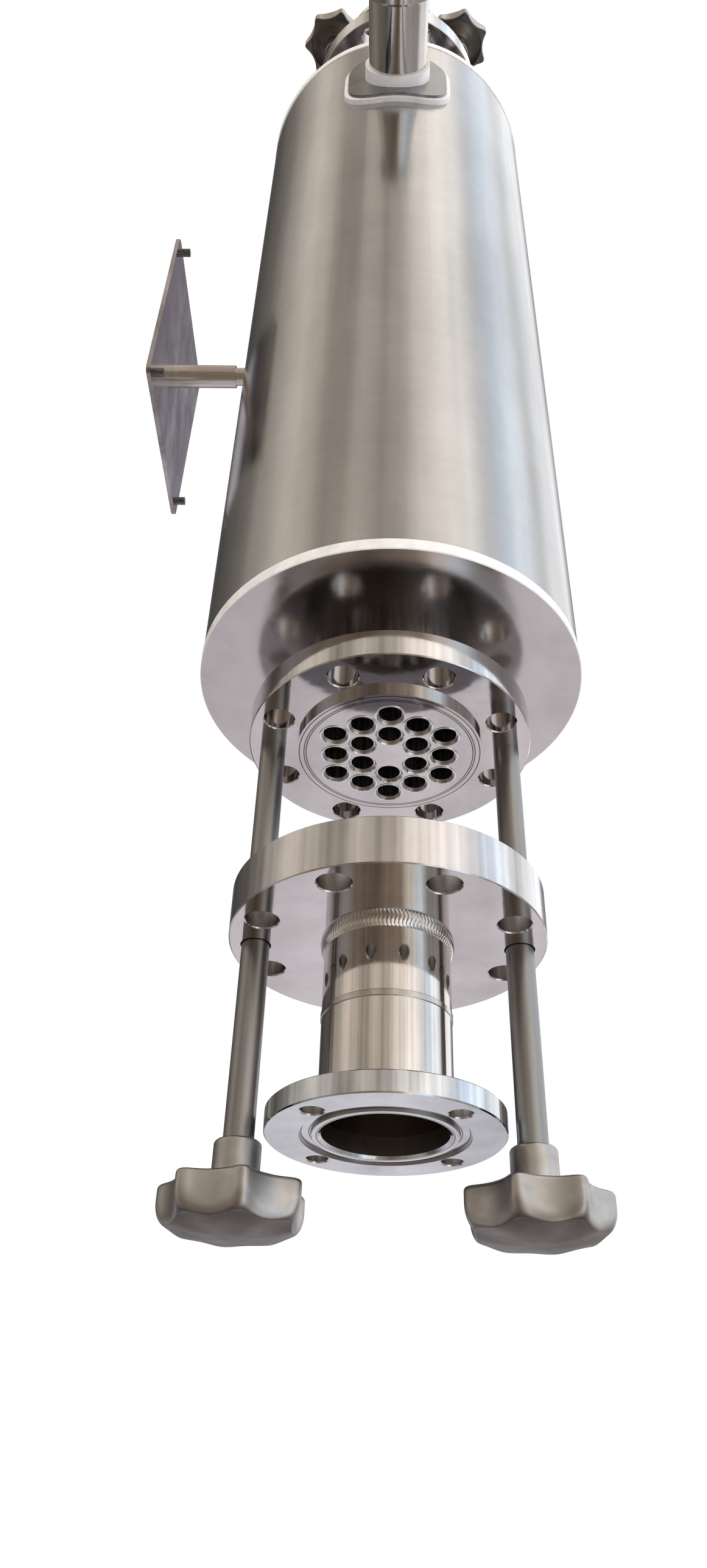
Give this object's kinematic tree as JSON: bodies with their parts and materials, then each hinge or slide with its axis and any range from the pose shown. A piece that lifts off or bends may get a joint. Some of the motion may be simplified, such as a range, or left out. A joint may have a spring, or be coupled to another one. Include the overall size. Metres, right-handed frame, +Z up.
{
  "type": "shell and tube heat exchanger",
  "caption": "Upright shell and tube heat exchanger with sliding end covers on guide rods, star knobs, a side bracket plate and two shell nozzles.",
  "frame": {"origin": "centre of the outer face of the bracket plate", "axes": "+X from the bracket plate to the exchanger's axis, +Z up along the exchanger's axis, front shell nozzle towards -Y"},
  "size_m": [0.2381, 0.304, 1.0792],
  "materials": {
    "brushed_jacket": "fine circumferential brush",
    "polished_flange": "turned and polished",
    "weld_bead": "pickled matte weld",
    "blasted_knob": "bead blasted",
    "guide_rod": "drawn bar",
    "tube_steel": "drawn tube",
    "pipe_steel": "polished pipe",
    "bracket_steel": "satin sheet"
  },
  "bodies": {
    "exchanger": {"jacket_shell": "brushed_jacket", "inner_shell": "pipe_steel", "tube_bundle": "tube_steel", "lower_end_plate": "polished_flange", "lower_rim_weld": "weld_bead", "lower_tubesheet_flange": "polished_flange", "lower_tubesheet": "polished_flange", "lower_left_rod": "guide_rod", "lower_right_rod": "guide_rod", "upper_end_plate": "polished_flange", "upper_rim_weld": "weld_bead", "upper_tubesheet_flange": "polished_flange", "upper_tubesheet": "polished_flange", "upper_left_rod": "guide_rod", "upper_right_rod": "guide_rod", "front_nozzle_pad": "pipe_steel", "front_pad_weld": "weld_bead", "front_shell_pipe": "pipe_steel", "front_pipe_weld": "weld_bead", "front_ferrule": "pipe_steel", "rear_nozzle_pad": "pipe_steel", "rear_pad_weld": "weld_bead", "rear_shell_pipe": "pipe_steel", "rear_pipe_weld": "weld_bead", "rear_ferrule": "pipe_steel", "bracket_plate": "bracket_steel", "bracket_studs": "bracket_steel", "bracket_arm": "bracket_steel"},
    "lower_header": {"lower_cover": "polished_flange", "lower_cover_weld": "weld_bead", "lower_nozzle_pipe": "pipe_steel", "lower_pipe_seam": "weld_bead", "lower_nozzle_flange": "polished_flange"},
    "upper_header": {"upper_cover": "polished_flange", "upper_cover_weld": "weld_bead", "upper_nozzle_pipe": "pipe_steel", "upper_pipe_seam": "weld_bead", "upper_nozzle_flange": "polished_flange"},
    "lower_left_grip": {"lower_left_knob": "blasted_knob"},
    "lower_right_grip": {"lower_right_knob": "blasted_knob"},
    "upper_left_grip": {"upper_left_knob": "blasted_knob"},
    "upper_right_grip": {"upper_right_knob": "blasted_knob"}
  },
  "joints": [
    {"name": "lower_header_slide", "type": "slide", "parent": "exchanger", "child": "lower_header", "axis": [0, 0, 1], "range_m": [0, 0.0772]},
    {"name": "upper_header_slide", "type": "slide", "parent": "exchanger", "child": "upper_header", "axis": [0, 0, -1], "range_m": [0, 0.0772]},
    {"name": "lower_left_knob_turn", "type": "hinge", "parent": "exchanger", "child": "lower_left_grip", "pos_m": [0.0863, 0, -0.4995], "axis": [0, 0, -1], "continuous": true},
    {"name": "lower_right_knob_turn", "type": "hinge", "parent": "exchanger", "child": "lower_right_grip", "pos_m": [0.1991, 0, -0.4995], "axis": [0, 0, -1], "continuous": true},
    {"name": "upper_left_knob_turn", "type": "hinge", "parent": "exchanger", "child": "upper_left_grip", "pos_m": [0.0863, 0, 0.5093], "axis": [0, 0, 1], "continuous": true},
    {"name": "upper_right_knob_turn", "type": "hinge", "parent": "exchanger", "child": "upper_right_grip", "pos_m": [0.1991, 0, 0.5093], "axis": [0, 0, 1], "continuous": true}
  ]
}
